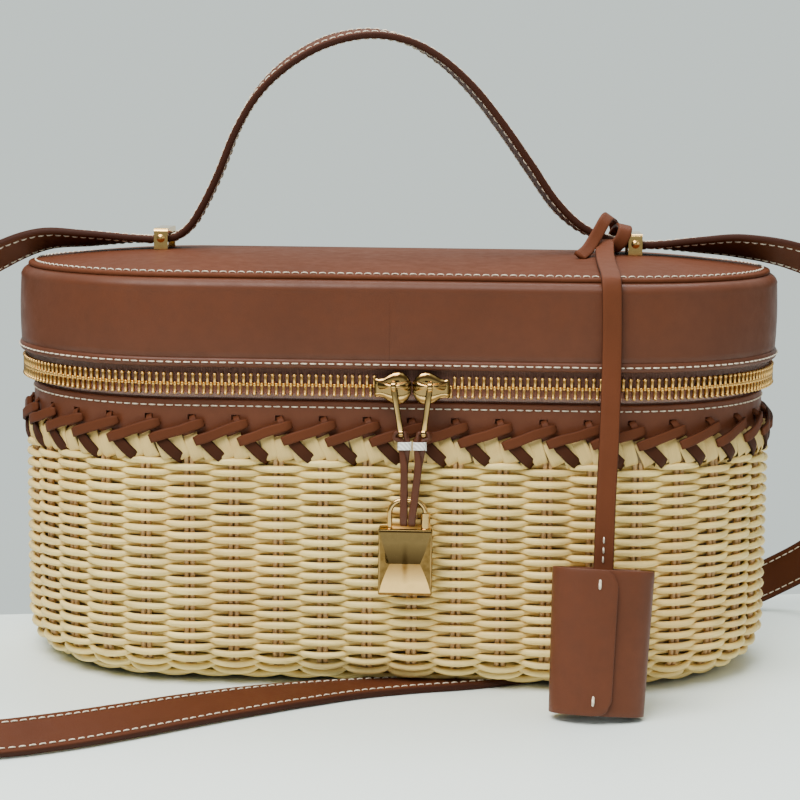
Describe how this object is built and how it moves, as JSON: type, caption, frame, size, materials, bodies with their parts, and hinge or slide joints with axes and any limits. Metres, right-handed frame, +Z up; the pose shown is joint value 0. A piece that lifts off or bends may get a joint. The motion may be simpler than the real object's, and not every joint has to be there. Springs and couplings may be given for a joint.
{
  "type": "basket box bag",
  "caption": "Oval box bag with a woven rattan body, leather zip-round lid, looped handle strap, padlocked sliders and a leather key bell.",
  "frame": {"origin": "on the surface the bag stands on, under the middle of the basket", "axes": "+Z up, -Y the front with the padlock, +X the end with the key bell"},
  "size_m": [0.4075, 0.2285, 0.2241],
  "materials": {
    "brown_leather": "smooth aniline leather, satin",
    "strap_leather": "smooth leather, satin, stitched",
    "lace_leather": "soft leather lace",
    "rattan": "peeled rattan rods, satin",
    "flat_cane": "flat cane, satin",
    "lining_cloth": "plain weave cloth",
    "former_board": "matt board",
    "zip_tape": "twill zip tape",
    "zip_teeth": "polished",
    "pale_gold": "polished, plated",
    "keyway_steel": "brushed",
    "cord_leather": "thin round leather cord",
    "thread": "waxed thread"
  },
  "bodies": {
    "basket": {"woven_basket": "rattan", "basket_rim": "flat_cane", "rim_lacing": "lace_leather", "lower_collar": "brown_leather", "basket_lining": "lining_cloth", "zip_tape_lower": "zip_tape", "zip_teeth_lower": "zip_teeth", "back_hinge_strip": "brown_leather", "shoulder_strap": "strap_leather"},
    "lid": {"lid_top_panel": "brown_leather", "lid_side_band": "brown_leather", "lid_hem": "brown_leather", "lid_board": "former_board", "lid_lining": "lining_cloth", "zip_tape_upper": "zip_tape", "zip_teeth_upper": "zip_teeth", "strap_loop_left": "pale_gold", "strap_loop_right": "pale_gold", "loop_rivet_caps": "pale_gold", "key_thong": "strap_leather", "key_ring": "pale_gold", "padlock_key": "pale_gold"},
    "slider_left": {"zip_slider_left": "pale_gold"},
    "slider_right": {"zip_slider_right": "pale_gold"},
    "pulls": {"zip_pull_left": "pale_gold", "zip_pull_right": "pale_gold", "pull_cord_left": "cord_leather", "pull_cord_right": "cord_leather", "cord_binding_left": "thread", "cord_binding_right": "thread"},
    "padlock": {"padlock_body": "pale_gold", "shackle_sleeve": "pale_gold"},
    "shackle": {"padlock_shackle": "pale_gold"},
    "lock_core": {"lock_cylinder": "keyway_steel"},
    "bell": {"key_bell": "brown_leather"}
  },
  "joints": [
    {"name": "lid_hinge", "type": "hinge", "parent": "basket", "child": "lid", "pos_m": [0, 0.064, 0.104], "axis": [-1, 0, 0], "range_deg": [0, 100], "deforming": ["back_hinge_strip", "shoulder_strap"]},
    {"name": "slider_left_slide", "type": "slide", "parent": "basket", "child": "slider_left", "axis": [1, 0, 0], "range_m": [-0.055, 0.03]},
    {"name": "slider_right_slide", "type": "slide", "parent": "basket", "child": "slider_right", "axis": [1, 0, 0], "range_m": [-0.055, 0.03]},
    {"name": "pulls_swing", "type": "hinge", "parent": "slider_left", "child": "pulls", "pos_m": [0.0077, -0.0684, 0.1046], "axis": [-1, 0, 0], "range_deg": [0, 85]},
    {"name": "padlock_swing", "type": "hinge", "parent": "pulls", "child": "padlock", "pos_m": [0.0062, -0.0684, 0.06655], "axis": [-1, 0, 0], "range_deg": [0, 60]},
    {"name": "shackle_lift", "type": "slide", "parent": "padlock", "child": "shackle", "axis": [0, 0, 1], "range_m": [0, 0.0055]},
    {"name": "lock_turn", "type": "hinge", "parent": "padlock", "child": "lock_core", "pos_m": [0.0062, -0.0684, 0.0375], "axis": [0, 0, 1], "range_deg": [0, 90]},
    {"name": "bell_slide", "type": "slide", "parent": "lid", "child": "bell", "axis": [0.0401, 0.1735, 0.984], "range_m": [0, 0.028]}
  ],
  "couplings": [
    {"joint": "slider_right_slide", "follows": "slider_left_slide", "ratio": 1}
  ]
}
